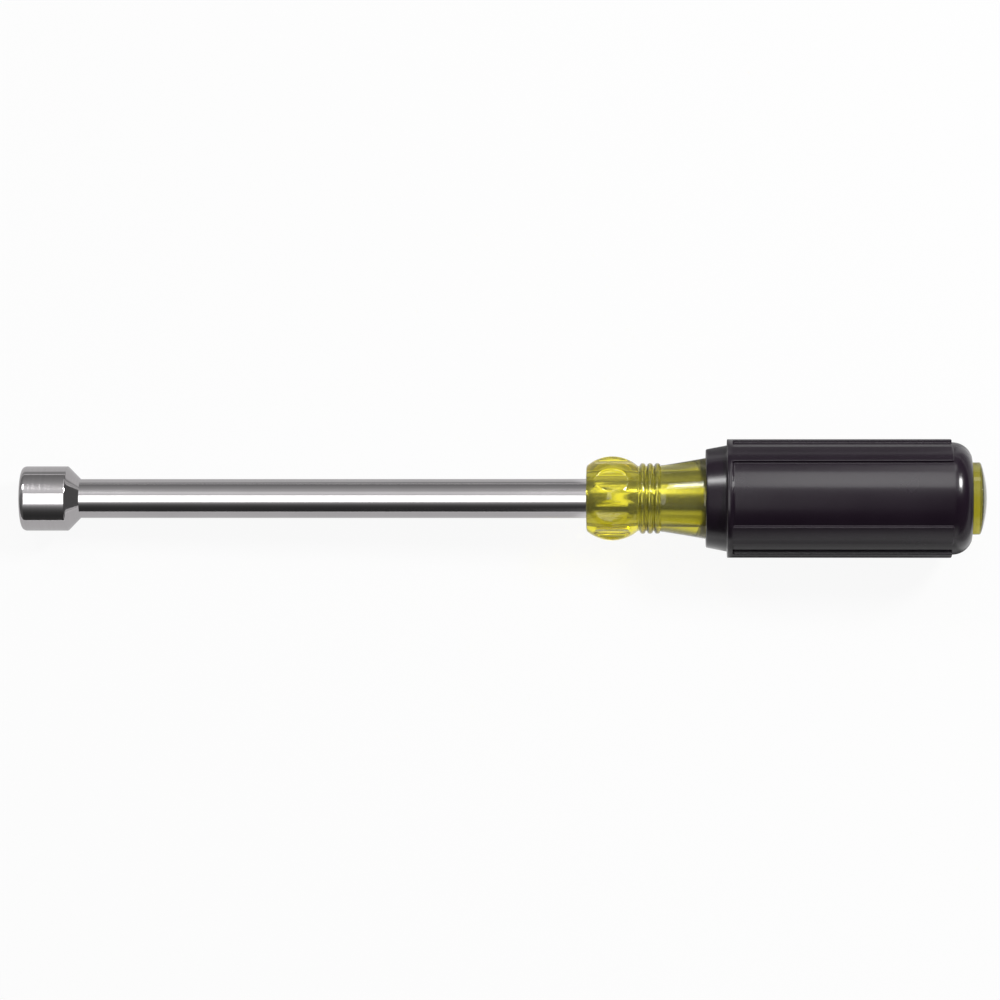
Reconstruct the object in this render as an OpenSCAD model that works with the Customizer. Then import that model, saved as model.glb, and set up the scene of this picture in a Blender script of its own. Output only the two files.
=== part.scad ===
// Hollow-shaft nut driver: a hex socket on a tube, moulded into a clear handle core
// that carries a ribbed cushion grip. All sizes are in millimetres.
// The tool lies along +X. The centre of the socket's mouth is the origin,
// and one of the grip's two wide plain panels faces +Z.

/* [Hex socket] */
// Nut size across flats
hex_af = 12.7; // [11:0.1:14]
// Play between the nut and the hex, across flats
hex_play = 0.1; // [0.05:0.05:0.3]
// Depth of the full hex
hex_depth = 9; // [6:0.5:14]
// Wall outside the corners of the hex
socket_wall = 1.3; // [1:0.1:2.5]
// Length of the cone that runs down to the shaft
cone_len = 3.4; // [2:0.2:6]
// Length of plain bore between the hex and the seat of the shaft
bore_land = 1.6; // [0.4:0.1:2]
// Rounding of the socket's front edge
lip_round = 0.8; // [0.2:0.1:0.8]
// How far the mouth opens past the corners of the hex
lead_in = 0.3; // [0.1:0.05:0.4]
// Slope of the mouth's cone, from the front face
lead_in_angle = 35; // [20:5:60]
// Half of the point angle of the cone between hex and bore
floor_half_angle = 59; // [45:1:75]

/* [Hollow shaft] */
// Reach from the mouth of the socket to the front of the handle
shaft_reach = 152.4; // [60:0.1:300]
// Bore that clears the stud behind the nut
bore_d = 8.3; // [6:0.1:9.5]
// Wall of the tube
shaft_wall = 1.1; // [0.9:0.05:2]
// Length of the spigot that enters the socket
spigot_len = 3.7; // [2:0.1:8]
// Step turned off the outside of the tube to make the spigot
spigot_step = 0.5; // [0.2:0.05:0.7]
// Radial gap around the spigot, filled by the braze
braze_gap = 0.03; // [0.02:0.01:0.1]
// Gap between the end of the spigot and the bottom of its seat
spigot_end_gap = 0.1; // [0.05:0.05:0.5]
// Length of tube inside the handle
anchor_depth = 60; // [45:1:90]

/* [Shaft anchor] */
// Number of wings that stop the shaft turning in the handle
wing_count = 4; // [2:1:6]
// Height of a wing above the tube
wing_height = 1.6; // [0.8:0.1:2.2]
// Thickness of a wing
wing_thickness = 1.6; // [1:0.1:3]
// Length of a wing along the tube
wing_len = 14; // [6:1:20]
// Length of the slope at each end of a wing
wing_ramp = 2; // [0.5:0.5:2.5]
// Distance from the rear end of the tube to the wings
wing_setback = 12; // [4:1:24]
// Gap between the shaft and the core moulded around it
mould_gap = 0.02; // [0.01:0.01:0.1]

/* [Bolster] */
// Diameter at the crown
bolster_d = 22.6; // [19:0.2:28]
// Diameter at both ends
bolster_end_d = 17.4; // [14:0.2:18.6]
// Length along the axis
bolster_len = 13.8; // [10:0.2:20]
// Rounding of the front edge
bolster_round = 0.4; // [0.1:0.1:1]
// Number of scallops
scallop_count = 8; // [4:1:10]
// Radius of a scallop's hollow
scallop_round = 6.4; // [4:0.2:9]
// Depth of a scallop at the crown
scallop_depth = 1.15; // [0.4:0.05:1.4]

/* [Beads and neck] */
// Number of beads behind the bolster
bead_count = 3; // [1:1:5]
// Spacing of the beads
bead_pitch = 1.95; // [1.7:0.05:3]
// Diameter over the beads
bead_d = 19; // [17:0.1:22]
// Radius of a bead's round
bead_round = 0.8; // [0.4:0.05:0.8]
// Flat between the bolster and the first bead
bead_gap = 0.3; // [0.1:0.1:2]
// Diameter of the neck behind the beads
neck_front_d = 17.8; // [16:0.1:20]
// Length of the neck that shows in front of the grip
neck_len = 12; // [4:0.5:30]

/* [Core under the grip] */
// Number of key flutes that stop the grip turning
key_count = 8; // [4:1:12]
// Radius of a key flute's hollow
key_round = 2; // [1:0.1:3]
// Depth of a key flute
key_depth = 0.8; // [0.3:0.1:1.2]
// Distance of the key flutes from both ends of the grip
key_inset = 10; // [7:1:20]
// Length of the grip's rear lip, behind the shoulder of the core
rear_lip = 4; // [2:0.5:6]
// Diameter of the rear button
button_d = 19.3; // [16:0.1:19.8]
// Length of the button behind the grip
button_len = 2.1; // [1:0.1:6]
// Height of the dome on the button
dome_height = 1.7; // [0.3:0.1:4]
// Rounding of the button's edge
button_round = 0.4; // [0.1:0.1:1]

/* [Cushion grip] */
// Length of the grip
grip_len = 71.3; // [50:0.1:110]
// Diameter over the ribs and the front ring
grip_d = 31.8; // [30:0.2:40]
// Height of the ribs above the panels
rib_height = 0.85; // [0.3:0.05:1.5]
// Thickness of the grip between a panel and the core
grip_wall = 4.2; // [3:0.05:5]
// Number of places for ribs, of which the two wide panels leave two empty
rib_places = 8; // [8:4:12]
// Width of a rib beside a wide panel
rib_w = 6.2; // [2:0.2:7]
// Width of the two ribs midway between the wide panels
side_rib_w = 8; // [2:0.2:9]
// Rounding of the ribs' long edges
rib_round = 0.25; // [0.1:0.05:0.5]
// Distance from the rear of the grip to the ends of the ribs
rib_setback = 5.7; // [5.5:0.1:20]
// Length of the collar in front of the ring
collar_len = 5.7; // [3:0.1:12]
// Height of the ring above the collar
collar_step = 1.65; // [0.5:0.05:2.2]
// How much the collar's radius falls towards its front
collar_fall = 1.05; // [0:0.05:1.6]
// Rounding of the collar's front edge
collar_round = 0.5; // [0.1:0.1:1]
// Width of the ring
ring_w = 1.5; // [1:0.1:4]
// Rounding of the ring's front edge
ring_round = 0.3; // [0.1:0.1:0.8]
// Rounding of the rear shoulder
rear_round = 5.4; // [2:0.1:5.4]
// Gap between the grip and the core
grip_gap = 0.02; // [0.01:0.01:0.1]

/* [Hidden] */
$fn = 96;
// How far a cutter passes the face that it opens
overcut = 1;

// Radii of the socket and the shaft
hex_flat_r = (hex_af + hex_play) / 2;
hex_corner_r = hex_flat_r / cos(30);
socket_r = hex_corner_r + socket_wall;
bore_r = bore_d / 2;
shaft_r = bore_r + shaft_wall;
spigot_r = shaft_r - spigot_step;
wing_foot_r = shaft_r - shaft_wall / 2;

// Places along the socket and the shaft, from the mouth
floor_len = (hex_flat_r - bore_r) / tan(floor_half_angle);
seat_z = hex_depth + floor_len + bore_land;
spigot_z = seat_z + spigot_end_gap;
head_len = spigot_z + spigot_len;
shaft_end_z = shaft_reach + anchor_depth;
wing_z = shaft_end_z - wing_setback - wing_len;

// Radii of the grip, and of the core that fills it
grip_r = grip_d / 2;
panel_r = grip_r - rib_height;
core_r = panel_r - grip_wall;
collar_back_r = grip_r - collar_step;
collar_front_r = collar_back_r - collar_fall;

// Radii of the rest of the core
bolster_r = bolster_d / 2;
bolster_end_r = bolster_end_d / 2;
bolster_sag = bolster_r - bolster_end_r;
bolster_arc_r = (pow(bolster_len / 2, 2) + pow(bolster_sag, 2)) / (2 * bolster_sag);
bead_floor_r = bead_d / 2 - bead_round;
neck_front_r = neck_front_d / 2;
button_r = button_d / 2;
dome_r = (pow(button_r, 2) + pow(dome_height, 2)) / (2 * dome_height);

// Places along the handle, from the mouth of the socket
bolster_end_z = shaft_reach + bolster_len;
beads_z = bolster_end_z + bead_gap;
neck_z = beads_z + bead_count * bead_pitch;
grip_z = neck_z + neck_len;
ring_z = grip_z + collar_len;
grip_end_z = grip_z + grip_len;
rib_end_z = grip_end_z - rib_setback;
core_end_z = grip_end_z - rear_lip;
button_edge_z = grip_end_z + button_len;
dome_center_z = button_edge_z + dome_height - dome_r;
key_z = grip_z + key_inset;
key_len = grip_len - 2 * key_inset;

// Turns a piece that was made along Z onto the tool's axis
module along_x() {
    rotate([0, 90, 0]) children();
}

// A round bar along the axis, from one place to another
module bar(radius, from, to) {
    translate([0, 0, from]) cylinder(r = radius, h = to - from);
}

// A cone along the axis, from one place to another
module taper(from_radius, to_radius, from, to) {
    translate([0, 0, from]) cylinder(r1 = from_radius, r2 = to_radius, h = to - from);
}

// A stretch of a turned profile that keeps one radius
module straight(radius, from, to) {
    translate([0, from]) square([radius, to - from]);
}

// A stretch of a turned profile that runs from one radius to another
module sloped(from_radius, to_radius, from, to) {
    polygon([[0, from], [from_radius, from], [to_radius, to], [0, to]]);
}

// Cutter that rounds the front edge of a turned profile
module front_round(radius, place, round) {
    translate([radius - round, place]) difference() {
        translate([0, -overcut]) square(round + overcut);
        translate([0, round]) circle(round);
    }
}

// Cutter that rounds the rear edge of a turned profile
module rear_edge_round(radius, place, round) {
    translate([0, place]) mirror([0, 1]) front_round(radius, 0, round);
}

// Copies a piece around the axis
module around(count, start = 0) {
    for (i = [0 : count - 1]) rotate(start + i * 360 / count) children();
}

// Outside of the socket, with its rounded lip and its cone
module socket_profile() {
    difference() {
        union() {
            straight(socket_r, 0, head_len - cone_len);
            sloped(socket_r, shaft_r, head_len - cone_len, head_len);
        }
        front_round(socket_r, 0, lip_round);
    }
}

// Cone that leads the nut into the hex
module lead_in_cone() {
    slope = tan(lead_in_angle);
    mouth_r = hex_corner_r + lead_in;
    taper(mouth_r + overcut / slope, hex_flat_r, -overcut, (mouth_r - hex_flat_r) * slope);
}

module socket() {
    color("gainsboro") along_x() difference() {
        rotate_extrude() socket_profile();
        lead_in_cone();
        translate([0, 0, -overcut]) cylinder(r = hex_corner_r, h = hex_depth + overcut, $fn = 6);
        taper(hex_flat_r, bore_r, hex_depth, hex_depth + floor_len);
        bar(bore_r, hex_depth, seat_z + overcut);
        bar(spigot_r + braze_gap, seat_z, head_len + overcut);
    }
}

// One coined wing, or its pocket where gap is more than zero
module wing(gap = 0) {
    top_r = shaft_r + wing_height + gap;
    rotate([90, 0, 0]) linear_extrude(wing_thickness + 2 * gap, center = true) polygon([
        [wing_foot_r, wing_z - gap],
        [shaft_r, wing_z - gap],
        [top_r, wing_z + wing_ramp - gap],
        [top_r, wing_z + wing_len - wing_ramp + gap],
        [shaft_r, wing_z + wing_len + gap],
        [wing_foot_r, wing_z + wing_len + gap],
    ]);
}

module hollow_shaft() {
    color("silver") along_x() difference() {
        union() {
            bar(spigot_r, spigot_z, head_len + overcut);
            bar(shaft_r, head_len, shaft_end_z);
            around(wing_count, 180 / wing_count) wing();
        }
        bar(bore_r, spigot_z - overcut, shaft_end_z + overcut);
    }
}

// Barrel outline of the bolster
module bolster_profile() {
    difference() {
        intersection() {
            translate([bolster_r - bolster_arc_r, shaft_reach + bolster_len / 2]) circle(bolster_arc_r);
            straight(bolster_r, shaft_reach, bolster_end_z);
        }
        front_round(bolster_end_r, shaft_reach, bolster_round);
    }
}

// Half-round beads on their floor
module bead_profile() {
    straight(bead_floor_r, bolster_end_z - bead_gap, neck_z);
    for (i = [0 : bead_count - 1])
        translate([bead_floor_r, beads_z + (i + 0.5) * bead_pitch]) circle(bead_round);
}

// Rear button, whose edge rounds smoothly into the dome
module button_profile() {
    round_r = button_r - button_round;
    round_z = dome_center_z + sqrt(pow(dome_r - button_round, 2) - pow(round_r, 2));
    dome_edge_r = round_r * dome_r / (dome_r - button_round);
    straight(button_r, core_end_z, round_z);
    translate([round_r, round_z]) circle(button_round);
    intersection() {
        translate([0, dome_center_z]) circle(dome_r);
        straight(dome_edge_r, core_end_z, dome_center_z + dome_r);
    }
}

module core_profile() {
    bolster_profile();
    bead_profile();
    sloped(neck_front_r, core_r, neck_z, grip_z);
    straight(core_r, grip_z, core_end_z);
    button_profile();
}

// Round hollows that run along the axis around the crown of the bolster
module scallops() {
    around(scallop_count, 180 / scallop_count)
        translate([bolster_r - scallop_depth + scallop_round, 0, 0])
            bar(scallop_round, shaft_reach, bolster_end_z);
}

// Key flutes of the core, or the smaller ridges of the grip that lie in them
module keys(gap = 0) {
    around(key_count)
        translate([core_r - key_depth + key_round, 0, 0])
            bar(key_round - gap, key_z + gap, key_z + key_len - gap);
}

module handle_core() {
    color([0.78, 0.74, 0.16, 0.7]) along_x() difference() {
        rotate_extrude() core_profile();
        scallops();
        keys();
        bar(shaft_r + mould_gap, shaft_reach - overcut, shaft_end_z + mould_gap);
        around(wing_count, 180 / wing_count) wing(mould_gap);
    }
}

// Collar, ring and body of the grip, down to the level of the panels
module grip_profile() {
    difference() {
        sloped(collar_front_r, collar_back_r, grip_z, ring_z);
        front_round(collar_front_r, grip_z, collar_round);
    }
    difference() {
        straight(grip_r, ring_z, ring_z + ring_w);
        front_round(grip_r, ring_z, ring_round);
    }
    difference() {
        straight(panel_r, ring_z, grip_end_z);
        rear_edge_round(panel_r, grip_end_z, min(rear_round, panel_r - button_r));
    }
}

// Cross-section of a rib, whose long edges round smoothly into its crown
module rib_section(width) {
    round_y = width / 2 - rib_round;
    round_x = sqrt(pow(grip_r - rib_round, 2) - pow(round_y, 2));
    crown_y = round_y * grip_r / (grip_r - rib_round);
    foot_x = core_r + grip_gap;
    translate([foot_x, -width / 2]) square([round_x - foot_x, width]);
    for (side = [-1, 1]) translate([round_x, side * round_y]) circle(rib_round);
    intersection() {
        circle(grip_r);
        translate([foot_x, -crown_y]) square([grip_r, 2 * crown_y]);
    }
}

// One raised rib, from the middle of the ring to its rear end
module rib(width) {
    start_z = ring_z + ring_w / 2;
    translate([0, 0, start_z]) linear_extrude(rib_end_z - start_z) rib_section(width);
}

// Ribs all around, apart from the two wide panels
module ribs() {
    for (place = [0 : rib_places - 1]) {
        on_wide_panel = place % (rib_places / 2) == 0;
        on_side = place % (rib_places / 4) == 0;
        if (!on_wide_panel) rotate(place * 360 / rib_places) rib(on_side ? side_rib_w : rib_w);
    }
}

// Hollow of the grip, which follows the core under it
module grip_hollow() {
    difference() {
        bar(core_r + grip_gap, grip_z - overcut, core_end_z + grip_gap);
        keys(grip_gap);
    }
    bar(button_r + grip_gap, core_end_z, grip_end_z + overcut);
}

module cushion_grip() {
    color([0.14, 0.13, 0.15]) along_x() difference() {
        union() {
            rotate_extrude() grip_profile();
            ribs();
        }
        grip_hollow();
    }
}

socket();
hollow_shaft();
handle_core();
cushion_grip();
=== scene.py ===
# %% [markdown]
# # A nut driver, dressed in Blender
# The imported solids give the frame: the tool lies along +X, the mouth of its socket is the
# origin, and a wide plain panel of the grip faces +Z. Four new pieces take the place of the
# four solids. All four start on a lathe, so most of this lesson is one habit: draw half of
# an outline, spin it, then cut or raise what isn't round.

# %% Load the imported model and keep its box
import math

import bpy
from mathutils import Matrix, Vector


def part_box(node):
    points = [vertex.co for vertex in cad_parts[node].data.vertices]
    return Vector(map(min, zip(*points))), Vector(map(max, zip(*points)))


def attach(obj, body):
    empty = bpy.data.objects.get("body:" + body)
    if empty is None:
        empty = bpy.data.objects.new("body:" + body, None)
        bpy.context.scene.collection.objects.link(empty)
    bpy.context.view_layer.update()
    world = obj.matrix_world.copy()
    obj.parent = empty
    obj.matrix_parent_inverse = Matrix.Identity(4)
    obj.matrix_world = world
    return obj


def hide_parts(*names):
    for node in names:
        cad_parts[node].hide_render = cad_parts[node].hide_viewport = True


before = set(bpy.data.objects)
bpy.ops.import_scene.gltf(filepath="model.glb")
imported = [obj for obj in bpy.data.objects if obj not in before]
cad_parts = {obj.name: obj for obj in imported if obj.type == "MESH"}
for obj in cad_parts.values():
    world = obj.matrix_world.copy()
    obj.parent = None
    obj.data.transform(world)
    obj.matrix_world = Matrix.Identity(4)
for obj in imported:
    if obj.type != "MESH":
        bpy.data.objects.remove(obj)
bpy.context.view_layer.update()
MM = 0.001

# %% [markdown]
# ## The camera
# The tool was photographed from straight above, with a long lens. It lies a little tilted,
# because the grip is thicker than the socket, so the camera leans slightly towards the grip.
# A camera could be aimed with a Track To constraint, but a matrix built from three
# directions keeps the tool's axis exactly level in the picture.

# %% Place the camera over the tool
LEAN_TO_GRIP = math.radians(2.5)
LEAN_TO_FRONT = math.radians(5.0)
CAMERA_DISTANCE = 1100 * MM
PICTURE_WIDTH = 269.0 * MM
PICTURE_CENTRE = Vector((129.1, -0.41, 0.0)) * MM
SENSOR_WIDTH = 36.0

camera_data = bpy.data.cameras.new("photo_camera")
camera_data.sensor_width = SENSOR_WIDTH
camera_data.lens = SENSOR_WIDTH * CAMERA_DISTANCE / PICTURE_WIDTH
camera = bpy.data.objects.new("photo_camera", camera_data)
bpy.context.scene.collection.objects.link(camera)
back = Vector((
    math.sin(LEAN_TO_GRIP),
    -math.sin(LEAN_TO_FRONT) * math.cos(LEAN_TO_GRIP),
    math.cos(LEAN_TO_FRONT) * math.cos(LEAN_TO_GRIP),
))
along = Vector((1, 0, 0))
right = (along - along.dot(back) * back).normalized()
up = back.cross(right)
turn = Matrix((right, up, back)).transposed().to_4x4()
camera.matrix_world = Matrix.Translation(PICTURE_CENTRE + back * CAMERA_DISTANCE) @ turn
bpy.context.scene.camera = camera
print(f"camera: lens {camera_data.lens:.1f} mm, {CAMERA_DISTANCE:.3f} m away")

# %% [markdown]
# ## Node helpers
# Every finish below is a small node tree. It could be wired node by node, but a few helpers
# that each add one kind of node let a material read as a list of what it is made of.

# %% Helpers for any node tree
def connect(tree, socket, value):
    """Links an output to a socket, or writes a plain value into it."""
    if isinstance(value, bpy.types.NodeSocket):
        tree.links.new(value, socket)
    else:
        socket.default_value = value


def add_node(tree, kind, settings=None, **inputs):
    """Adds a node, sets its own properties, and links or sets its inputs by name."""
    node = tree.nodes.new(kind)
    for name, value in (settings or {}).items():
        setattr(node, name, value)
    for name, value in inputs.items():
        connect(tree, node.inputs[name.replace("_", " ")], value)
    return node


def calculate(tree, operation, first, second=0.0):
    """One Math node, as an output that the next node can take."""
    node = add_node(tree, "ShaderNodeMath", {"operation": operation})
    connect(tree, node.inputs[0], first)
    connect(tree, node.inputs[1], second)
    return node.outputs["Value"]


def distance(tree, value, middle):
    """How far a value is from a middle, on either side of it."""
    return calculate(tree, "ABSOLUTE", calculate(tree, "SUBTRACT", value, middle))


def blend(tree, factor, first, second):
    """A mix of two levels of grey."""
    node = add_node(tree, "ShaderNodeMix", {"data_type": "FLOAT"}, Factor=factor)
    connect(tree, node.inputs[2], first)
    connect(tree, node.inputs[3], second)
    return node.outputs[0]


def fade(tree, value, start, end, first=0.0, last=1.0, curve="SMOOTHSTEP"):
    """A level that runs from first to last while a value runs from start to end."""
    node = add_node(
        tree, "ShaderNodeMapRange", {"interpolation_type": curve},
        Value=value, From_Min=start, From_Max=end, To_Min=first, To_Max=last,
    )
    return node.outputs[0]


print("node helpers ready")

# %% Helpers for materials
def new_material(name):
    """An empty node material, its tree and its output node."""
    material = bpy.data.materials.new(name)
    material.use_nodes = True
    tree = material.node_tree
    tree.nodes.clear()
    return material, tree, tree.nodes.new("ShaderNodeOutputMaterial")


def ramp(tree, factor, stops):
    """A colour ramp from places and greys or colours."""
    node = add_node(tree, "ShaderNodeValToRGB", Fac=factor)
    elements = node.color_ramp.elements
    while len(elements) < len(stops):
        elements.new(0.5)
    for element, (place, colour) in zip(elements, stops):
        element.position = place
        element.color = colour if isinstance(colour, tuple) else (colour, colour, colour, 1)
    return node.outputs["Color"]


def noise(tree, place, scale, detail):
    """A soft noise, with its scale in waves to the metre."""
    node = add_node(tree, "ShaderNodeTexNoise", Vector=place, Scale=scale, Detail=detail)
    return node.outputs["Fac"]


def bump(tree, height, strength, depth):
    """A bumped normal that a shader can take."""
    node = add_node(tree, "ShaderNodeBump", Strength=strength, Distance=depth, Height=height)
    return node.outputs[0]


def mix_shaders(tree, factor, first, second):
    """The first shader where the factor is 0 and the second where it is 1."""
    node = add_node(tree, "ShaderNodeMixShader", Fac=factor)
    tree.links.new(first.outputs[0], node.inputs[1])
    tree.links.new(second.outputs[0], node.inputs[2])
    return node.outputs[0]


print("material helpers ready")

# %% [markdown]
# ## The bench
# The tool rests on two places only: the ring of the grip and the lip of the socket. The
# floor passes under both, so it slopes about two degrees in the tool's own frame. It could
# be a level plane under a tilted tool, but the tool has to lie where its solids lie.

# %% Lay a floor under the ring and the lip
RING_FOOT = Vector((190.8, 0.0, -15.92)) * MM
LIP_FOOT = Vector((0.7, 0.0, -8.71)) * MM
FLOOR_SIZE = 8.0

slope = math.atan2(LIP_FOOT.z - RING_FOOT.z, RING_FOOT.x - LIP_FOOT.x)
bpy.ops.object.select_all(action="DESELECT")
bpy.ops.mesh.primitive_plane_add(size=FLOOR_SIZE, location=RING_FOOT, rotation=(0, slope, 0))
floor = bpy.context.object
floor.name = "bench"
bpy.ops.object.transform_apply(location=True, rotation=True, scale=True)
print(f"floor slopes {math.degrees(slope):.2f} degrees")

# %% [markdown]
# The floor is white to the camera, and part of it is plain lit paint, which keeps a soft
# shadow. What the chrome and the clear plastic see of it changes from place to place: pale
# grey beside the shaft, a painted shadow close beside the grip, strips of painted shadow and
# painted caustic light under the bolster and the neck, a pale strip beyond the button, and
# nearly white far away. Cards on a studio table could be thin planes, but a painted floor
# has no edges that show in other views.

# %% Choose the greys that mirrors see in the floor
# A stop is a place across the tool, in metres from its axis, and a grey.
SHAFT_FLOOR = ((0.045, 0.60), (0.060, 0.26))
# Close in front of the grip the floor is dark: a painted shadow of the tool.
GRIP_FLOOR = ((-0.034, 0.45), (-0.024, 0.08), (-0.018, 0.02), (0.045, 0.60), (0.060, 0.26))
# Under the bolster and the neck the dark stops are a painted shadow of the tool, and the bright
# ones next to its axis are a painted line of caustic light.
BOLSTER_SHADOW_AND_CAUSTIC = (
    (-0.060, 1.0),
    (-0.012, 1.0),
    (-0.005, 0.40),
    (-0.0005, 0.15),
    (0.0012, 1.0),
    (0.0045, 1.0),
    (0.006, 0.40),
    (0.012, 0.38),
    (0.017, 0.90),
    (0.100, 0.90),
)
NECK_SHADOW_AND_CAUSTIC = (
    (-0.060, 0.60),
    (-0.030, 0.85),
    (-0.014, 1.0),
    (-0.010, 0.25),
    (-0.002, 0.10),
    (0.001, 0.60),
    (0.004, 0.70),
    (0.008, 0.25),
    (0.012, 0.08),
    (0.018, 0.12),
    (0.060, 0.30),
    (0.100, 0.50),
)
print("strips under the bolster and the neck:", len(BOLSTER_SHADOW_AND_CAUSTIC), len(NECK_SHADOW_AND_CAUSTIC))

# %% Spread the greys over the floor
SIDE_SPAN = 0.1
CLEAR_FROM, CLEAR_TO, CLEAR_FADE = 0.153, 0.186, 0.006
NECK_FROM, NECK_TO = 0.171, 0.177
TOOL_MIDDLE, TOOL_HALF = 0.13, 0.13
FAR_FROM, FAR_TO, FAR_LEVEL = 0.18, 0.40, 0.9
BUTTON_STRIP, STRIP_HALF, STRIP_FADE = 0.272, 0.008, 0.008


def side_levels(tree, across, stops):
    """The floor's level from its front side to its rear side."""
    return ramp(tree, across, [(0.5 + 0.5 * place / SIDE_SPAN, grey) for place, grey in stops])


paint, tree, output = new_material("bench_white")
floor_place = add_node(tree, "ShaderNodeTexCoord").outputs["Object"]
spot = add_node(tree, "ShaderNodeSeparateXYZ", Vector=floor_place).outputs
across = fade(tree, spot["Y"], -SIDE_SPAN, SIDE_SPAN, curve="LINEAR")
shaft_level, grip_level, bolster_level, neck_level = (
    side_levels(tree, across, stops)
    for stops in (SHAFT_FLOOR, GRIP_FLOOR, BOLSTER_SHADOW_AND_CAUSTIC, NECK_SHADOW_AND_CAUSTIC)
)
under_neck = fade(tree, spot["X"], NECK_FROM, NECK_TO)
under_grip = calculate(tree, "GREATER_THAN", spot["X"], CLEAR_TO)
clear_half = (CLEAR_TO - CLEAR_FROM) / 2
off_clear = distance(tree, spot["X"], (CLEAR_FROM + CLEAR_TO) / 2)
under_core = fade(tree, off_clear, clear_half, clear_half + CLEAR_FADE, 1.0, 0.0)
# This carries the painted shadow and painted caustic light under the clear core.
core_shadow_and_caustic = blend(tree, under_neck, bolster_level, neck_level)
beside_level = blend(tree, under_grip, shaft_level, grip_level)
near_level = blend(tree, under_core, beside_level, core_shadow_and_caustic)
past_sides = calculate(tree, "ABSOLUTE", spot["Y"])
past_ends = calculate(tree, "SUBTRACT", distance(tree, spot["X"], TOOL_MIDDLE), TOOL_HALF)
far_off = calculate(tree, "MAXIMUM", past_sides, past_ends)
far_level = fade(tree, far_off, FAR_FROM, FAR_TO, 0.0, FAR_LEVEL)
off_strip = distance(tree, spot["X"], BUTTON_STRIP)
strip_level = fade(tree, off_strip, STRIP_HALF, STRIP_HALF + STRIP_FADE, FAR_LEVEL, 0.0)
pale_level = calculate(tree, "MAXIMUM", far_level, strip_level)
mirror_level = calculate(tree, "MAXIMUM", near_level, pale_level)
print("floor levels joined in", len(tree.nodes), "nodes")

# %% Paint the floor
CAMERA_SHARE, MIRROR_SHARE = 0.93, 0.90
PAINT_GREY = (0.6, 0.6, 0.6, 1)
WHITE = (1, 1, 1, 1)

path = add_node(tree, "ShaderNodeLightPath").outputs
seen = calculate(tree, "MULTIPLY", path["Is Camera Ray"], CAMERA_SHARE)
mirrored = calculate(tree, "MULTIPLY", path["Is Glossy Ray"], MIRROR_SHARE)
glow_share = calculate(tree, "MAXIMUM", seen, mirrored)
level = calculate(tree, "MAXIMUM", mirror_level, path["Is Camera Ray"])
lit = add_node(tree, "ShaderNodeBsdfDiffuse", Color=PAINT_GREY)
glow = add_node(tree, "ShaderNodeEmission", Color=WHITE, Strength=level)
tree.links.new(mix_shaders(tree, glow_share, lit, glow), output.inputs["Surface"])
floor.data.materials.append(paint)
print("floor painted:", paint.name)

# %% [markdown]
# ## The studio
# Chrome and satin vinyl show the room, so the room is part of the finish. Its front is
# mostly dark and its rear fades from pale to grey. The half over the shaft and the half
# over the grip have fades of their own, and both ends are dim. A world that depends on the
# direction around the tool's axis makes these fades without any card standing in the way
# of other views.

# %% Choose the greys of the room
# A stop is an angle around the tool, in degrees from straight up, and a grey.
SHAFT_ROOM = (
    (-95, 0.05),
    (-70, 0.036),
    (-56, 0.052),
    (-48, 0.085),
    (-40, 0.155),
    (-33, 0.31),
    (-27, 0.70),
    (-22, 0.25),
    (10, 0.25),
    (15, 0.80),
    (29, 0.90),
    (39, 0.56),
    (50, 0.45),
    (62, 0.33),
    (76, 0.25),
    (92, 0.20),
)
GRIP_ROOM = (
    (-95, 0.90),
    (-80, 0.90),
    (-70, 0.45),
    (-62, 0.07),
    (-20, 0.05),
    (-6, 0.10),
    (5, 0.25),
    (14, 0.60),
    (30, 0.85),
    (45, 0.55),
    (62, 0.33),
    (76, 0.25),
    (92, 0.20),
)
SOCKET_END_ROOM = (
    (-95, 0.12),
    (-50, 0.10),
    (-25, 0.16),
    (12, 0.20),
    (30, 0.40),
    (60, 0.25),
    (95, 0.15),
)
GRIP_END_GREY = 0.1
print("stops over the shaft and the grip:", len(SHAFT_ROOM), len(GRIP_ROOM))

# %% Paint the room by its angle around the tool
ENDS_FROM, ENDS_TO = 0.17, 0.45
GRIP_SIDE_FROM, GRIP_SIDE_TO = -0.02, 0.012
FULL_TURN = 360

world = bpy.data.worlds.new("studio")
bpy.context.scene.world = world
world.use_nodes = True
tree = world.node_tree
tree.nodes.clear()
output = tree.nodes.new("ShaderNodeOutputWorld")
direction = add_node(tree, "ShaderNodeTexCoord").outputs["Generated"]
parts = add_node(tree, "ShaderNodeSeparateXYZ", Vector=direction).outputs
angle = calculate(tree, "ARCTAN2", parts["Y"], parts["Z"])
turned_share = fade(tree, angle, -math.pi, math.pi, curve="LINEAR")
over_shaft, over_grip, at_socket_end = (
    ramp(tree, turned_share, [(0.5 + degrees / FULL_TURN, grey) for degrees, grey in stops])
    for stops in (SHAFT_ROOM, GRIP_ROOM, SOCKET_END_ROOM)
)
grip_side = fade(tree, parts["X"], GRIP_SIDE_FROM, GRIP_SIDE_TO)
towards_ends = fade(tree, calculate(tree, "ABSOLUTE", parts["X"]), ENDS_FROM, ENDS_TO)
middle_room = blend(tree, grip_side, over_shaft, over_grip)
end_room = blend(tree, grip_side, at_socket_end, GRIP_END_GREY)
room = blend(tree, towards_ends, middle_room, end_room)
camera_ray = add_node(tree, "ShaderNodeLightPath").outputs["Is Camera Ray"]
sky = blend(tree, camera_ray, room, 1.0)
background = add_node(tree, "ShaderNodeBackground", Color=sky, Strength=1.0)
tree.links.new(background.outputs[0], output.inputs["Surface"])
print("room painted in", len(tree.nodes), "nodes")

# %% [markdown]
# ## The lamps
# Each lamp is there for a highlight. A long panel over the shaft gives the white band on
# the chrome. Lamps beside the tool give the sheen on the neck, the glint on the collar and
# the soft band along the grip, and a small strong one beyond the grip gives the hot spot on
# its shoulder. A lamp is usually set in watts, but what a mirror shows is the brightness
# of its face, so the helper takes that and works out the watts.

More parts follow.
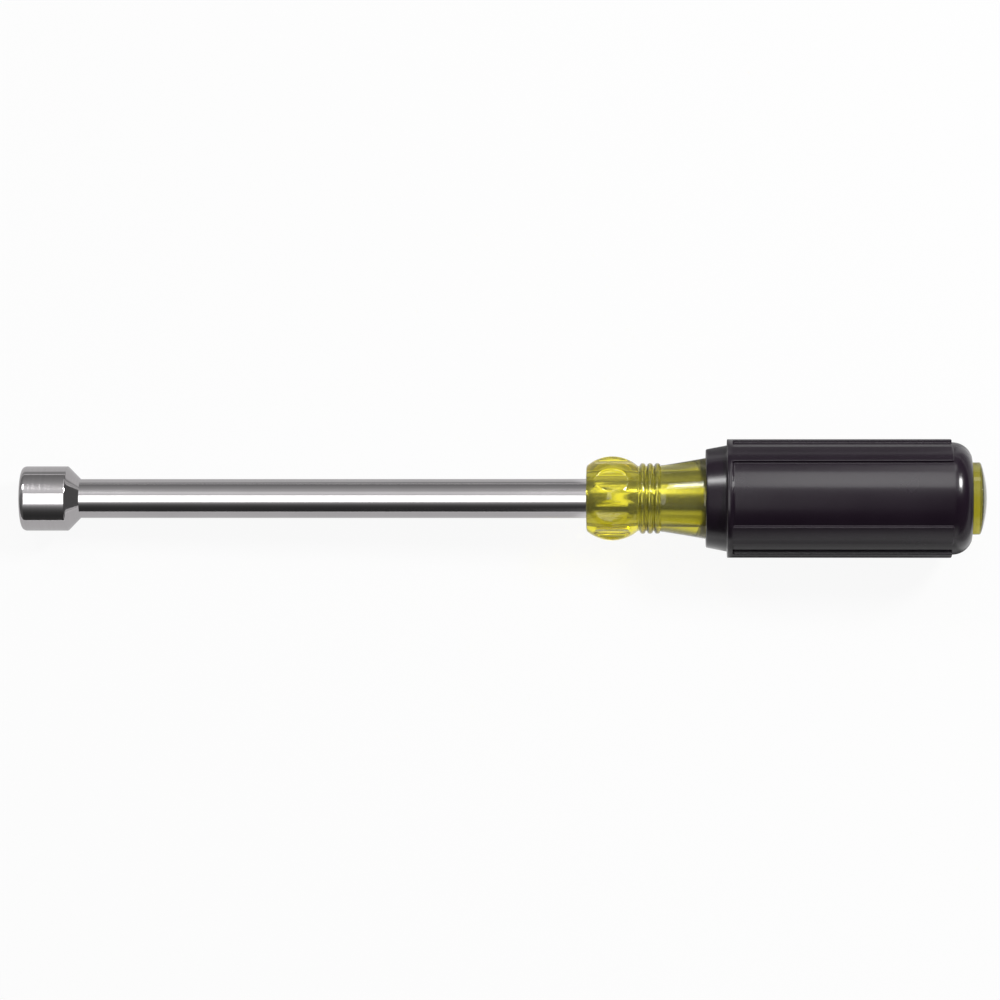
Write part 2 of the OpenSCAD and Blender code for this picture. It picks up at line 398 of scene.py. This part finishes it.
# %% Hang the lamps
def hang_lamp(name, place, target, size, brightness):
    """A rectangular soft lamp, aimed at a point, whose face has a given brightness."""
    data = bpy.data.lights.new(name, "AREA")
    data.shape = "RECTANGLE"
    data.size, data.size_y = size
    data.energy = brightness * math.pi * size[0] * size[1]
    lamp = bpy.data.objects.new(name, data)
    bpy.context.scene.collection.objects.link(lamp)
    lamp.visible_camera = False
    face = (Vector(place) - Vector(target)).normalized()
    side = (along - along.dot(face) * face).normalized()
    aim = Matrix((side, face.cross(side), face)).transposed().to_4x4()
    lamp.matrix_world = Matrix.Translation(place) @ aim
    print(f"lamp {name}: {data.energy:.2f} W")


hang_lamp(
    "over_shaft", place=(-0.13, -0.22, 1.99), target=(-0.13, 0, 0),
    size=(0.52, 1.36), brightness=2.2,
)
hang_lamp(
    "beside_socket", place=(-0.58, 1.218, 1.587), target=(-0.58, 0, 0),
    size=(0.40, 0.70), brightness=6.0,
)
hang_lamp(
    "beside_collar", place=(-0.54, 1.157, 1.507), target=(-0.54, 0, 0),
    size=(0.30, 0.28), brightness=15.0,
)
hang_lamp(
    "beside_grip", place=(0.32, 1.133, 1.648), target=(0.32, 0, 0),
    size=(0.26, 1.20), brightness=3.4,
)
hang_lamp(
    "beside_neck", place=(0.52, 1.749, 0.970), target=(0.52, 0, 0),
    size=(0.30, 0.50), brightness=2.4,
)
hang_lamp(
    "beyond_grip", place=(0.80, 0.45, 0.77), target=(0.25, 0, 0),
    size=(0.16, 0.26), brightness=90.0,
)

# %% [markdown]
# ## Turning on a lathe
# Spin sweeps a drawn outline around an axis, as a lathe tool does. The outline starts as a
# plane merged to one point, which is then pulled from corner to corner. Corners with a
# radius get a short arc, so that the light has something round to run along.

# %% Helpers for drawing and spinning outlines
WELD = MM / 1000


def arc(centre, radius, start, end, steps):
    """Points of an arc in the outline's plane, as places along and out from the axis."""
    angles = [math.radians(start + (end - start) * i / steps) for i in range(steps + 1)]
    return [(centre[0] + radius * math.cos(a), centre[1] + radius * math.sin(a)) for a in angles]


def line(start, end, steps):
    """Points of a straight stretch, without its last one."""
    return [
        (start[0] + (end[0] - start[0]) * i / steps, start[1] + (end[1] - start[1]) * i / steps)
        for i in range(steps)
    ]


def draw_outline(name, outline):
    """Pulls a vertex from point to point, in millimetres, and stays in edit mode."""
    bpy.ops.object.select_all(action="DESELECT")
    bpy.ops.mesh.primitive_plane_add(size=MM)
    piece = bpy.context.object
    piece.name = name
    bpy.ops.object.mode_set(mode="EDIT")
    bpy.ops.mesh.select_mode(type="VERT")
    bpy.ops.mesh.select_all(action="SELECT")
    bpy.ops.mesh.merge(type="CENTER")
    points = [Vector((along_axis, 0, radius)) * MM for along_axis, radius in outline]
    bpy.ops.transform.translate(value=points[0])
    for here, there in zip(points, points[1:]):
        bpy.ops.mesh.extrude_vertices_move(TRANSFORM_OT_translate={"value": there - here})
    return piece


def spin_outline(name, outline, steps):
    """Turns an outline into a closed round piece, in object mode."""
    piece = draw_outline(name, outline)
    bpy.ops.mesh.select_all(action="SELECT")
    bpy.ops.mesh.spin(steps=steps, angle=2 * math.pi, center=(0, 0, 0), axis=(1, 0, 0))
    bpy.ops.mesh.select_all(action="SELECT")
    bpy.ops.mesh.remove_doubles(threshold=WELD)
    bpy.ops.mesh.normals_make_consistent(inside=False)
    bpy.ops.object.mode_set(mode="OBJECT")
    return piece


print("lathe ready")

# %% Helpers for finishing a piece
SEAM_WELD = MM / 500


def make_active(piece):
    """Selects one piece alone, so that operators act on it and nothing else."""
    bpy.ops.object.select_all(action="DESELECT")
    bpy.context.view_layer.objects.active = piece
    piece.select_set(True)


def apply_boolean(piece, cutter, operation):
    """Cuts or joins another mesh, removes it, and cleans the seam."""
    make_active(piece)
    boolean = piece.modifiers.new("cut", "BOOLEAN")
    boolean.operation = operation
    boolean.solver = "EXACT"
    boolean.object = cutter
    bpy.ops.object.modifier_apply(modifier=boolean.name)
    bpy.data.objects.remove(cutter)
    bpy.ops.object.mode_set(mode="EDIT")
    bpy.ops.mesh.select_all(action="SELECT")
    bpy.ops.mesh.remove_doubles(threshold=SEAM_WELD)
    bpy.ops.mesh.dissolve_degenerate(threshold=SEAM_WELD)
    bpy.ops.object.mode_set(mode="OBJECT")


def smooth(piece, sharp_from):
    """Shades a piece smooth, apart from edges sharper than an angle in degrees."""
    make_active(piece)
    bpy.ops.object.shade_smooth_by_angle(angle=math.radians(sharp_from))


def hand_in(piece, node, material):
    """Gives a piece its finish and puts it in the place of its solid."""
    piece.data.materials.clear()
    piece.data.materials.append(material)
    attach(piece, "root")
    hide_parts(node)
    low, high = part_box(node)
    faces = len(piece.data.polygons)
    print(f"{piece.name}: {faces} faces, for {node} at x {low.x:.4f} to {high.x:.4f} m")


print("finishing helpers ready")

# %% [markdown]
# ## Chrome
# Bright chrome is a metal whose colour hardly matters beside what it reflects. What tells
# it from a mirror ball is the work underneath: the tube was drawn, which leaves faint lines
# along it, and the socket was turned, which leaves faint lines around it. One noise,
# stretched the right way, gives both: it stirs the roughness, the grey and a tiny bump.
# Where the tube is bedded in the handle, it is darker and grittier.

# %% Mix the two chromes
MARKS_ALONG = (6.0, 2600.0, 2600.0)
MARKS_AROUND = (3200.0, 40.0, 40.0)
TONE_LOW, TONE_HIGH = 0.3, 0.7
DARK_PLATE, PALE_PLATE = (0.555, 0.535, 0.545, 1), (0.615, 0.595, 0.605, 1)
PLATE_ROUGH_LOW, PLATE_ROUGH_HIGH = 0.05, 0.11
BEDDED_FROM = 152.5 * MM
BEDDED_GREY, BEDDED_ROUGH, BEDDED_BUMP = 0.82, 0.20, 0.6


def chrome(name, stretch, bedded_from=None):
    """Bright plate over tool marks. The stretch says which way the marks run."""
    material, tree, output = new_material(name)
    place = add_node(tree, "ShaderNodeTexCoord").outputs["Object"]
    stretched = add_node(tree, "ShaderNodeMapping", Vector=place, Scale=stretch).outputs[0]
    marks = noise(tree, stretched, scale=1.0, detail=4.0)
    clouds = noise(tree, place, scale=60.0, detail=2.0)
    tone = blend(tree, 0.5, marks, clouds)
    plate = ramp(tree, tone, [(TONE_LOW, DARK_PLATE), (TONE_HIGH, PALE_PLATE)])
    rough = fade(
        tree, tone, TONE_LOW, TONE_HIGH, PLATE_ROUGH_LOW, PLATE_ROUGH_HIGH, curve="LINEAR",
    )
    height = marks
    if bedded_from is not None:
        along_tube = add_node(tree, "ShaderNodeSeparateXYZ", Vector=place).outputs["X"]
        bedded = calculate(tree, "GREATER_THAN", along_tube, bedded_from)
        grit = calculate(tree, "MULTIPLY", bedded, noise(tree, place, scale=1400.0, detail=3.0))
        rough = calculate(tree, "ADD", rough, calculate(tree, "MULTIPLY", grit, BEDDED_ROUGH))
        height = calculate(tree, "ADD", marks, calculate(tree, "MULTIPLY", grit, BEDDED_BUMP))
        dimmed = add_node(
            tree, "ShaderNodeVectorMath", {"operation": "SCALE"},
            Vector=plate, Scale=blend(tree, bedded, 1.0, BEDDED_GREY),
        )
        plate = dimmed.outputs["Vector"]
    metal = add_node(
        tree, "ShaderNodeBsdfPrincipled", Base_Color=plate, Metallic=1.0, Roughness=rough,
        Normal=bump(tree, height, strength=0.05, depth=0.02 * MM),
    )
    tree.links.new(metal.outputs[0], output.inputs["Surface"])
    return material


shaft_chrome = chrome("drawn_chrome", MARKS_ALONG, BEDDED_FROM)
socket_chrome = chrome("turned_chrome", MARKS_AROUND)
print("chromes:", shaft_chrome.name, socket_chrome.name)

# %% [markdown]
# ## Clear plastic
# The handle core is clear yellow-green plastic, and its colour lies inside it: a thin place
# is pale and a thick one deep. So the surface is clear glass, and a plain Volume Absorption
# takes the blue out along the way. The surface of a moulding is never quite flat, so a slow
# noise ripples it and a fine one dulls it here and there. Lamps shine through it.

# %% Mix the clear plastic
ACETATE_ABSORBS = 180.0
ACETATE_PASSES = (0.989, 0.958, 0.0, 1)
ACETATE_SKIN = (0.95, 0.93, 0.3, 1)
LAMPLIGHT_PASSES = (0.95, 0.95, 0.95, 1)
HAZE_LOW, HAZE_HIGH, HAZE_ROUGH = 0.35, 0.75, 0.06

acetate, tree, output = new_material("clear_yellow_plastic")
place = add_node(tree, "ShaderNodeTexCoord").outputs["Object"]
ripple = noise(tree, place, scale=220.0, detail=2.0)
haze = noise(tree, place, scale=900.0, detail=4.0)
clear = add_node(
    tree, "ShaderNodeBsdfPrincipled",
    Base_Color=ACETATE_SKIN, IOR=1.47, Transmission_Weight=0.94,
    Roughness=fade(tree, haze, HAZE_LOW, HAZE_HIGH, 0.0, HAZE_ROUGH, curve="LINEAR"),
    Normal=bump(tree, ripple, strength=0.08, depth=0.1 * MM),
)
let_through = add_node(tree, "ShaderNodeBsdfTransparent", Color=LAMPLIGHT_PASSES)
shadow_ray = add_node(tree, "ShaderNodeLightPath").outputs["Is Shadow Ray"]
surface = mix_shaders(tree, shadow_ray, clear, let_through)
tree.links.new(surface, output.inputs["Surface"])
tint = add_node(
    tree, "ShaderNodeVolumeAbsorption", Color=ACETATE_PASSES, Density=ACETATE_ABSORBS,
)
tree.links.new(tint.outputs[0], output.inputs["Volume"])
print("clear plastic absorbs", ACETATE_ABSORBS, "per metre of blue")

# %% [markdown]
# ## Soft vinyl
# The grip is soft black vinyl with a satin sheen. Up close it has the fine grain of its
# mould, and handling has left some places smoother than others. The grain is bump only,
# far too small for geometry, and a slower noise moves the roughness and the grey.

# %% Mix the black vinyl
WEAR_LOW, WEAR_HIGH = 0.3, 0.7
DEEP_BLACK, WORN_BLACK = (0.0064, 0.0022, 0.0072, 1), (0.0090, 0.0042, 0.0100, 1)
SATIN_LOW, SATIN_HIGH = 0.24, 0.28

vinyl, tree, output = new_material("satin_black_vinyl")
place = add_node(tree, "ShaderNodeTexCoord").outputs["Object"]
grain = noise(tree, place, scale=3200.0, detail=3.0)
wear = noise(tree, place, scale=70.0, detail=4.0)
grained = bump(tree, grain, strength=0.05, depth=0.05 * MM)
skin = add_node(
    tree, "ShaderNodeBsdfPrincipled", Specular_IOR_Level=0.32,
    Base_Color=ramp(tree, wear, [(WEAR_LOW, DEEP_BLACK), (WEAR_HIGH, WORN_BLACK)]),
    Roughness=fade(tree, wear, WEAR_LOW, WEAR_HIGH, SATIN_LOW, SATIN_HIGH, curve="LINEAR"),
    Coat_Weight=0.45, Coat_Roughness=0.16, Normal=grained, Coat_Normal=grained,
)
tree.links.new(skin.outputs[0], output.inputs["Surface"])
print("vinyl mixed:", vinyl.name)

# %% [markdown]
# ## The socket
# The real one is forged, turned outside and broached inside. Here its outside, its bore
# and the cone that leads a nut in are spun in one go. The hex could be drawn into the mouth
# by hand, but cutting it with a six-sided bar is what a broach does. Extra rings beside the
# rounded corners keep the smooth shading straight between them.

# %% Spin the socket
METAL_STEPS = 128
SOCKET_R, SHAFT_R, BORE_R = 8.690, 5.25, 4.15
HEAD_LEN, CONE_LEN = 15.752, 3.4
NOSE_LEN, NOSE_DROP, NOSE_STEPS = 1.3, 0.9, 10
EDGE_ROUND, EDGE_STEPS = 0.5, 5
RING_GAP, CONE_RINGS = 0.12, 12
PILOT_R, MOUTH_R, LEAD_IN_LEAN = 6.2, 7.69, 35
PILOT_END, BORE_START = 9.12, 10.352
SEAT_START, SEAT_R = 11.952, 4.78

lead_in = (MOUTH_R - PILOT_R) * math.tan(math.radians(LEAD_IN_LEAN))
cone_start = HEAD_LEN - CONE_LEN
cone_lean = math.degrees(math.atan2(SOCKET_R - SHAFT_R, CONE_LEN))
edge_start = cone_start - EDGE_ROUND * math.tan(math.radians(cone_lean / 2))
edge = arc((edge_start, SOCKET_R - EDGE_ROUND), EDGE_ROUND, 90, 90 - cone_lean, EDGE_STEPS)
nose = [
    (NOSE_LEN * x, SOCKET_R - NOSE_DROP * (1 - r))
    for x, r in arc((1, 0), 1, 180, 90, NOSE_STEPS)
]
socket_outline = (
    [(lead_in, PILOT_R), (0.0, MOUTH_R)]
    + nose
    + [(NOSE_LEN + RING_GAP, SOCKET_R), (edge[0][0] - RING_GAP, SOCKET_R)]
    + edge
    + line(edge[-1], (HEAD_LEN, SHAFT_R), CONE_RINGS)[1:]
    + [
        (HEAD_LEN, SHAFT_R),
        (HEAD_LEN, SEAT_R),
        (SEAT_START, SEAT_R),
        (SEAT_START, BORE_R),
        (BORE_START, BORE_R),
        (PILOT_END, PILOT_R),
        (lead_in, PILOT_R),
    ]
)
socket = spin_outline("hex_socket_head", socket_outline, METAL_STEPS)
print("socket spun:", len(socket.data.vertices), "vertices")

# %% Broach the hex
HEX_SIDES, HEX_CORNER_R, HEX_DEPTH = 6, 7.390, 9.0
OVERCUT = 1.0
METAL_SHARP = 30

bpy.ops.object.select_all(action="DESELECT")
bpy.ops.mesh.primitive_cylinder_add(
    vertices=HEX_SIDES, radius=HEX_CORNER_R * MM, depth=(HEX_DEPTH + OVERCUT) * MM,
    location=((HEX_DEPTH - OVERCUT) / 2 * MM, 0, 0), rotation=(0, math.pi / 2, 0),
)
broach = bpy.context.object
bpy.ops.object.transform_apply(location=True, rotation=True, scale=True)
bpy.ops.object.mode_set(mode="EDIT")
bpy.ops.mesh.select_all(action="SELECT")
half_side = math.pi / HEX_SIDES
bpy.ops.transform.rotate(value=half_side, orient_axis="X", center_override=(0, 0, 0))
bpy.ops.object.mode_set(mode="OBJECT")
apply_boolean(socket, broach, "DIFFERENCE")
smooth(socket, METAL_SHARP)
hand_in(socket, "socket", socket_chrome)

# %% [markdown]
# ## The hollow shaft
# A drawn tube, with a turned-down spigot that enters the socket. Four coined wings keep it
# from turning in the handle, under the grip where nobody sees them. A wing could be pulled
# out of the tube's wall, but a cube joined to it is simpler: its outer face is scaled down
# along the tube, which makes a ramp at each end, and then it is turned to its place.

# %% Spin the tube
SPIGOT_R, SPIGOT_START = 4.75, 12.052
TUBE_END, TUBE_CHAMFER = 212.4, 0.3
tube_outline = [
    (SPIGOT_START, BORE_R),
    (SPIGOT_START, SPIGOT_R),
    (HEAD_LEN, SPIGOT_R),
    (HEAD_LEN, SHAFT_R),
    (TUBE_END - TUBE_CHAMFER, SHAFT_R),
    (TUBE_END, SHAFT_R - TUBE_CHAMFER),
    (TUBE_END, BORE_R),
    (SPIGOT_START, BORE_R),
]
shaft = spin_outline("hollow_tube_shaft", tube_outline, METAL_STEPS)
print("tube spun:", len(shaft.data.vertices), "vertices")

# %% A helper that picks faces
FACING = 0.9


def pick_faces(piece, wanted):
    """Selects the faces that a test picks, and leaves the piece in edit mode."""
    make_active(piece)
    bpy.ops.object.mode_set(mode="EDIT")
    bpy.ops.mesh.select_mode(type="FACE")
    bpy.ops.mesh.select_all(action="DESELECT")
    bpy.ops.object.mode_set(mode="OBJECT")
    picked = 0
    for face in piece.data.polygons:
        face.select = wanted(face)
        picked += face.select
    bpy.ops.object.mode_set(mode="EDIT")
    return picked


print("face picker ready")

# %% Coin the wings
WING_COUNT, WING_FIRST = 4, math.radians(45)
WING_START, WING_LEN, WING_RAMP = 186.4, 14.0, 2.0
WING_TOP_R, WING_FOOT_R, WING_THICK, WING_TAPER = 6.85, 4.7, 1.6, 0.8

wing_middle = WING_START + WING_LEN / 2
top_middle = Vector((wing_middle, 0, WING_TOP_R)) * MM
top_scale = ((WING_LEN - 2 * WING_RAMP) / WING_LEN, WING_TAPER, 1)
for number in range(WING_COUNT):
    bpy.ops.object.select_all(action="DESELECT")
    bpy.ops.mesh.primitive_cube_add(size=1.0)
    wing = bpy.context.object
    wing.location = Vector((wing_middle, 0, (WING_TOP_R + WING_FOOT_R) / 2)) * MM
    wing.scale = Vector((WING_LEN, WING_THICK, WING_TOP_R - WING_FOOT_R)) * MM
    bpy.ops.object.transform_apply(location=True, rotation=True, scale=True)
    pick_faces(wing, lambda face: face.normal.z > FACING)
    bpy.ops.transform.resize(value=top_scale, center_override=top_middle)
    bpy.ops.mesh.select_all(action="SELECT")
    wing_turn = WING_FIRST + number * 2 * math.pi / WING_COUNT
    bpy.ops.transform.rotate(value=wing_turn, orient_axis="X", center_override=(0, 0, 0))
    bpy.ops.object.mode_set(mode="OBJECT")
    apply_boolean(shaft, wing, "UNION")
smooth(shaft, METAL_SHARP)
hand_in(shaft, "hollow_shaft", shaft_chrome)

# %% [markdown]
# ## The clear handle core
# One moulding: a scalloped bolster, three beads, a flared neck, a body under the grip and a
# domed button at the rear. Light bends at every point of its surface, so its outline is
# drawn with many points. It grips the tube without any air between them, so its bore is a
# hair smaller than the tube: seen through the plastic, the chrome then looks thicker.

# %% Draw the bolster
BOLSTER_START, BOLSTER_LEN = 152.4, 13.8
BOLSTER_R, BOLSTER_END_R = 11.3, 8.7
BOLSTER_STEPS, BOLSTER_SKIP = 84, 1.5
FRONT_SOFTNESS = ((0.0, 0.35), (0.04, 0.16))

bolster_end = BOLSTER_START + BOLSTER_LEN
bolster_middle = BOLSTER_START + BOLSTER_LEN / 2
sag = BOLSTER_R - BOLSTER_END_R
bolster_arc = ((BOLSTER_LEN / 2) ** 2 + sag ** 2) / (2 * sag)
half_sweep = math.degrees(math.asin(BOLSTER_LEN / 2 / bolster_arc))
front_edge = [(BOLSTER_START + x, BOLSTER_END_R - drop) for x, drop in FRONT_SOFTNESS]
barrel = arc(
    (bolster_middle, BOLSTER_R - bolster_arc), bolster_arc,
    90 + half_sweep - BOLSTER_SKIP, 90 - half_sweep, BOLSTER_STEPS,
)
print(f"bolster: an arc of {bolster_arc:.2f} mm, {2 * half_sweep:.1f} degrees long")

# %% Draw the beads and the neck
BEADS, BEADS_START, BEAD_PITCH = 3, 166.5, 1.95
BEAD_FLOOR_R, BEAD_ROUND, BEAD_FOOT = 8.7, 0.8, 0.1
BEAD_FROM, BEAD_TO, BEAD_STEPS = 172, 8, 14
NECK_START, NECK_END = 172.35, 184.35
NECK_FRONT_R, CORE_R = 8.9, 10.85
NECK_STEPS, NECK_FLARE = 14, 1.12

beads = []
for number in range(BEADS):
    middle = BEADS_START + (number + 0.5) * BEAD_PITCH
    beads += [(middle - BEAD_ROUND - BEAD_FOOT, BEAD_FLOOR_R)]
    beads += arc((middle, BEAD_FLOOR_R), BEAD_ROUND, BEAD_FROM, BEAD_TO, BEAD_STEPS)
    beads += [(middle + BEAD_ROUND + BEAD_FOOT, BEAD_FLOOR_R)]
neck = [
    (
        NECK_START + (NECK_END - NECK_START) * i / NECK_STEPS,
        NECK_FRONT_R + (CORE_R - NECK_FRONT_R) * (i / NECK_STEPS) ** NECK_FLARE,
    )
    for i in range(NECK_STEPS + 1)
]
print("points of the beads and the neck:", len(beads), len(neck))

# %% Draw the button and spin the core
CORE_STEPS, CORE_BORE_R, BORE_RINGS, TUBE_PLAY = 360, 5.22, 4, 0.02
CORE_SHOULDER, BUTTON_R = 251.65, 9.65
BUTTON_EDGE, BUTTON_ROUND, BUTTON_SHIFT = 257.75, 0.4, 0.06
BUTTON_TURN, BUTTON_STEPS = 80, 5
DOME_TOP, DOME_STEPS = 259.45, 10

dome_rise = DOME_TOP - BUTTON_EDGE
dome_r = (BUTTON_R ** 2 + dome_rise ** 2) / (2 * dome_rise)
dome_half = math.degrees(math.asin((BUTTON_R - BUTTON_ROUND) / dome_r))
dome = arc((DOME_TOP - dome_r, 0), dome_r, dome_half, 0, DOME_STEPS)
button_centre = (BUTTON_EDGE - BUTTON_ROUND + BUTTON_SHIFT, BUTTON_R - BUTTON_ROUND)
button_edge = arc(button_centre, BUTTON_ROUND, 90, 90 - BUTTON_TURN, BUTTON_STEPS)
core_outline = (
    [(TUBE_END + TUBE_PLAY, 0.0), (TUBE_END + TUBE_PLAY, CORE_BORE_R)]
    + line((TUBE_END, CORE_BORE_R), (BOLSTER_START, CORE_BORE_R), BORE_RINGS)[1:]
    + [(BOLSTER_START, CORE_BORE_R)]
    + front_edge
    + barrel
    + beads
    + neck
    + [(CORE_SHOULDER, CORE_R), (CORE_SHOULDER, BUTTON_R)]
    + button_edge
    + dome
)
core = spin_outline("clear_handle_core", core_outline, CORE_STEPS)
print("core spun:", len(core.data.vertices), "vertices, ends at", round(core_outline[-1][0], 3))

# %% [markdown]
# Eight round hollows scallop the bolster. A Boolean would cut them with knife edges, but
# the moulded edges are slightly soft, and they catch a thin pale line of light. So each
# vertex of the bolster is moved in to the lower of two surfaces, the barrel and the hollow,
# with a small blend between the two.

# %% Scallop the bolster
SCALLOPS, SCALLOP_R, SCALLOP_DEPTH, SCALLOP_SOFT = 8, 6.4, 1.15, 0.24
END_SLACK, WALL_SLACK = 0.02, 0.5
MOVED_SHARE = 0.9999
PLASTIC_SHARP = 35
hollow_distance = BOLSTER_R - SCALLOP_DEPTH + SCALLOP_R


def scalloped_radius(radius, turn_angle):
    """The lower of the barrel and the nearest hollow, with a soft edge between them."""
    pitch = 2 * math.pi / SCALLOPS
    offset = (turn_angle % pitch) - pitch / 2
    under_root = SCALLOP_R ** 2 - (hollow_distance * math.sin(offset)) ** 2
    if under_root <= 0:
        return radius
    hollow = hollow_distance * math.cos(offset) - math.sqrt(under_root)
    kept = min(max(0.5 + 0.5 * (hollow - radius) / SCALLOP_SOFT, 0.0), 1.0)
    return hollow + (radius - hollow) * kept - SCALLOP_SOFT * kept * (1 - kept)


moved = 0
for vertex in core.data.vertices:
    x, y, z = vertex.co / MM
    radius = math.hypot(y, z)
    on_bolster = BOLSTER_START + END_SLACK < x < bolster_end + END_SLACK
    if on_bolster and radius > BOLSTER_END_R - WALL_SLACK:
        share = scalloped_radius(radius, math.atan2(y, z)) / radius
        vertex.co.y *= share
        vertex.co.z *= share
        moved += share < MOVED_SHARE
core.data.update()
smooth(core, PLASTIC_SHARP)
hand_in(core, "handle_core", acetate)
print("scalloped vertices:", moved)

# %% [markdown]
# ## The cushion grip
# A vinyl sleeve with a tapered collar, a thin ring, six raised ribs and two wide plain
# panels. The ring and the panels are spun, with extra rings beside the corners as on the
# socket. The ribs are faces of the sleeve, picked by their angle and pulled out to the
# height of the ring, and one bevel at the end rounds every edge that the mould would leave
# soft.

# %% Spin the sleeve
GRIP_STEPS = 360
GRIP_START, GRIP_END, GRIP_BORE_R, GRIP_FACE_R = 184.35, 255.25, 10.82, 12.0
COLLAR_FRONT_R, COLLAR_BACK_R, COLLAR_RINGS = 13.26, 14.25, 9
COLLAR_ROUND, COLLAR_TURN, COLLAR_STEPS = 0.5, 80, 5
RING_START, RING_END, RIB_END, CORNER_GAP = 190.05, 191.55, 249.95, 0.6
GRIP_R, PANEL_R = 15.9, 15.05
REAR_ROUND, REAR_TURN, REAR_STEPS = 5.4, 68, 16
SHOULDER_PLAY = 0.02

collar_centre = (GRIP_START + COLLAR_ROUND, COLLAR_FRONT_R - COLLAR_ROUND)
collar_edge = arc(collar_centre, COLLAR_ROUND, 180, 180 - COLLAR_TURN, COLLAR_STEPS)
rear_reach = REAR_ROUND * math.sin(math.radians(REAR_TURN))
rear_centre = (GRIP_END - rear_reach, PANEL_R - REAR_ROUND)
sleeve_outline = (
    [(GRIP_START, GRIP_BORE_R), (GRIP_START, GRIP_FACE_R)]
    + collar_edge
    + line(collar_edge[-1], (RING_START, COLLAR_BACK_R), COLLAR_RINGS)[1:]
    + [
        (RING_START, COLLAR_BACK_R),
        (RING_START, GRIP_R),
        (RING_END, GRIP_R),
        (RING_END, PANEL_R),
        (RING_END + CORNER_GAP, PANEL_R),
        (RIB_END - CORNER_GAP, PANEL_R),
        (RIB_END, PANEL_R),
    ]
    + arc(rear_centre, REAR_ROUND, 90, 90 - REAR_TURN, REAR_STEPS)
    + [
        (GRIP_END, BUTTON_R),
        (CORE_SHOULDER + SHOULDER_PLAY, BUTTON_R),
        (CORE_SHOULDER + SHOULDER_PLAY, GRIP_BORE_R),
        (GRIP_START, GRIP_BORE_R),
    ]
)
grip = spin_outline("ribbed_cushion_grip", sleeve_outline, GRIP_STEPS)
print("sleeve spun:", len(grip.data.vertices), "vertices")

# %% Raise the ribs
RIB_MIDDLES, SIDE_RIB = (45, 90, 135, -45, -90, -135), 90
RIB_HALF, SIDE_RIB_HALF = 11.24, 14.57
ON_PANEL = 0.1


def on_a_rib(y, z):
    """Does a place around the axis lie on a rib? Angles run from the upper panel."""
    here = math.degrees(math.atan2(y, z))
    for middle in RIB_MIDDLES:
        half = SIDE_RIB_HALF if abs(middle) == SIDE_RIB else RIB_HALF
        if abs(here - middle) < half:
            return True
    return False


def rib_ground(face):
    """Faces of the panel that a rib grows from."""
    x, y, z = face.center / MM
    outer = abs(math.hypot(y, z) - PANEL_R) < ON_PANEL
    return outer and RING_END < x < RIB_END and on_a_rib(y, z)


ribs = pick_faces(grip, rib_ground)
bpy.ops.mesh.extrude_region_shrink_fatten(
    TRANSFORM_OT_shrink_fatten={"value": (GRIP_R - PANEL_R) * MM, "use_even_offset": False}
)
bpy.ops.object.mode_set(mode="OBJECT")
print("faces raised:", ribs)

# %% Open the ribs into the ring
ON_RING = 0.01
RIB_WELD = 0.02 * MM


def inside_wall(face):
    """Faces between the ring and the ribs, which the pulled faces left shut inside."""
    x, y, z = face.center / MM
    at_ring = abs(face.normal.x) > FACING and abs(x - RING_END) < ON_RING
    return at_ring and PANEL_R < math.hypot(y, z) < GRIP_R and on_a_rib(y, z)


walls = pick_faces(grip, inside_wall)
bpy.ops.mesh.delete(type="FACE")
bpy.ops.mesh.select_all(action="SELECT")
bpy.ops.mesh.remove_doubles(threshold=RIB_WELD)
bpy.ops.mesh.normals_make_consistent(inside=False)
bpy.ops.object.mode_set(mode="OBJECT")
print("walls opened:", walls)

# %% Round the grip's edges
SOFT_WIDTH, SOFT_STEPS, SOFT_FROM = 0.22 * MM, 3, 38

soften = grip.modifiers.new("soft_edges", "BEVEL")
soften.width = SOFT_WIDTH
soften.segments = SOFT_STEPS
soften.limit_method = "ANGLE"
soften.angle_limit = math.radians(SOFT_FROM)
bpy.ops.object.modifier_apply(modifier=soften.name)
smooth(grip, PLASTIC_SHARP)
hand_in(grip, "cushion_grip", vinyl)

# %% [markdown]
# ## The view
# The dressed tool has to keep the size of its solids. The Standard view shows a colour as it
# is written, where Blender's own default would mute it.

# %% Show colours as written, and finish
bpy.context.scene.view_settings.view_transform = "Standard"
